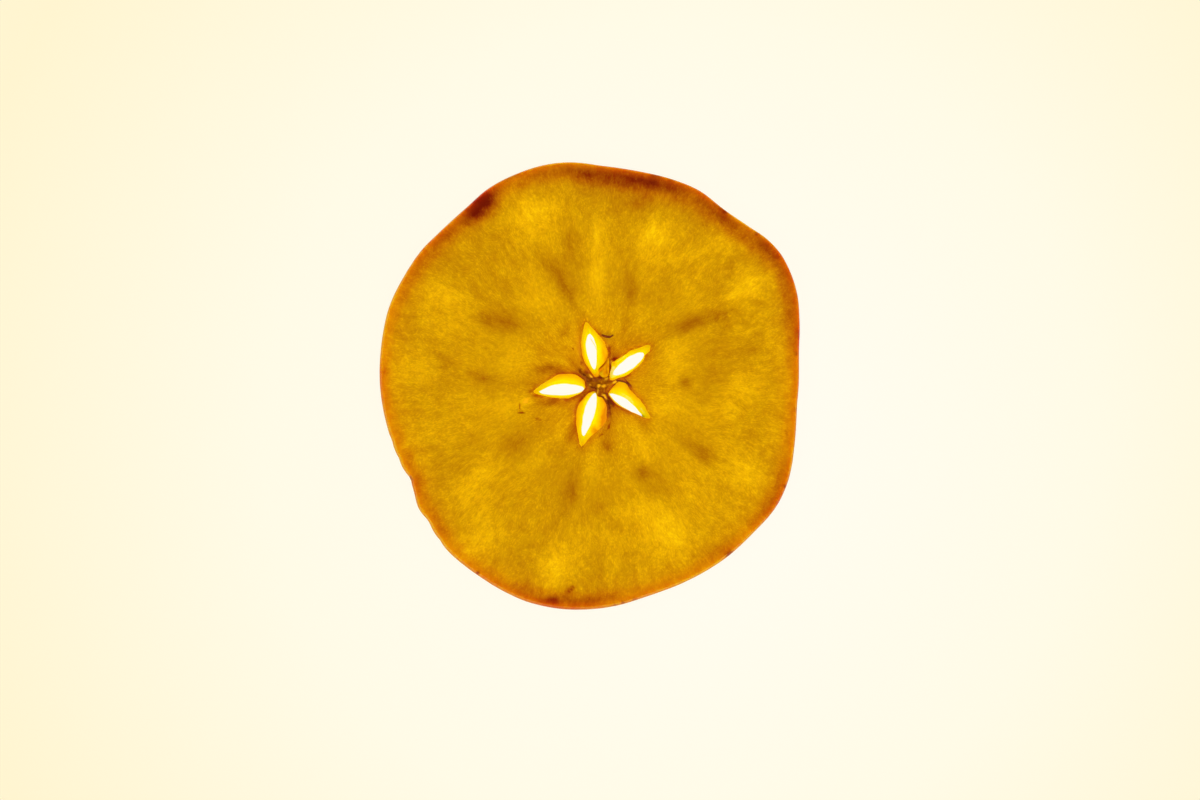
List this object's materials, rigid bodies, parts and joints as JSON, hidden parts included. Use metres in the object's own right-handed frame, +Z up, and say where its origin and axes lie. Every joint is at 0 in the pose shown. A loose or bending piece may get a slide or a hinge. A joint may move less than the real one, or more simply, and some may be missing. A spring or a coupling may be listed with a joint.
{
  "type": "apple slice",
  "caption": "Thin round slice cut across an apple, with a star of open seed cavities round the core and a ring of skin at its rim.",
  "frame": {"origin": "on the lower cut face, in the middle of the slice's box", "axes": "+Z up out of the upper cut face, along the apple's core; +Y towards the top of the picture; +X to its right"},
  "size_m": [0.0723, 0.077, 0.004],
  "materials": {
    "apple_flesh": "satin"
  },
  "bodies": {
    "root": {"apple_slice": "apple_flesh"}
  },
  "joints": []
}
